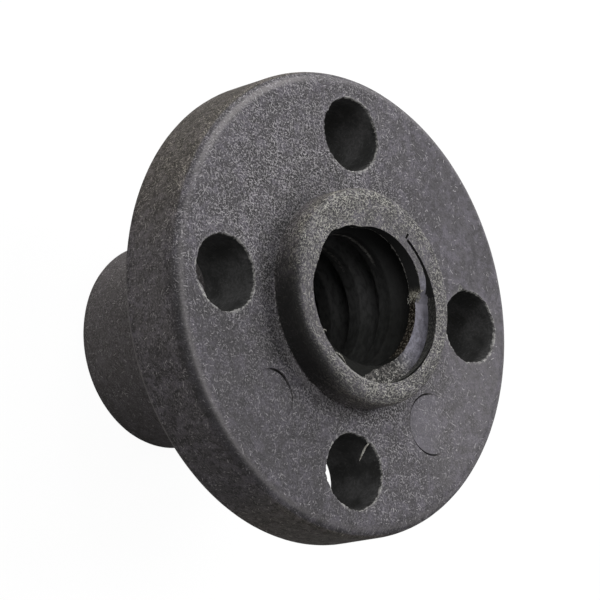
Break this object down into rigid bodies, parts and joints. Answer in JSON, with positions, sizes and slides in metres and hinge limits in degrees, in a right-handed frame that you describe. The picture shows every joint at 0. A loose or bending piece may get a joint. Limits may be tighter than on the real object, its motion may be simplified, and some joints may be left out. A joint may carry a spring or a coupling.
{
  "type": "lead screw nut",
  "caption": "Flanged round nut for a trapezoidal lead screw, with a long hub, a short boss and bolt holes round the flange.",
  "frame": {"origin": "centre of the hub's free end face, on the screw's axis, where the nut stands", "axes": "+Z along the screw's axis from the hub's free end towards the boss; +X and +Y through the bolt holes"},
  "size_m": [0.022, 0.022, 0.015],
  "materials": {
    "nut_plastic": "moulded fibre-filled plastic, matt with fine pale flecks"
  },
  "bodies": {
    "root": {"lead_screw_nut": "nut_plastic"}
  },
  "joints": []
}
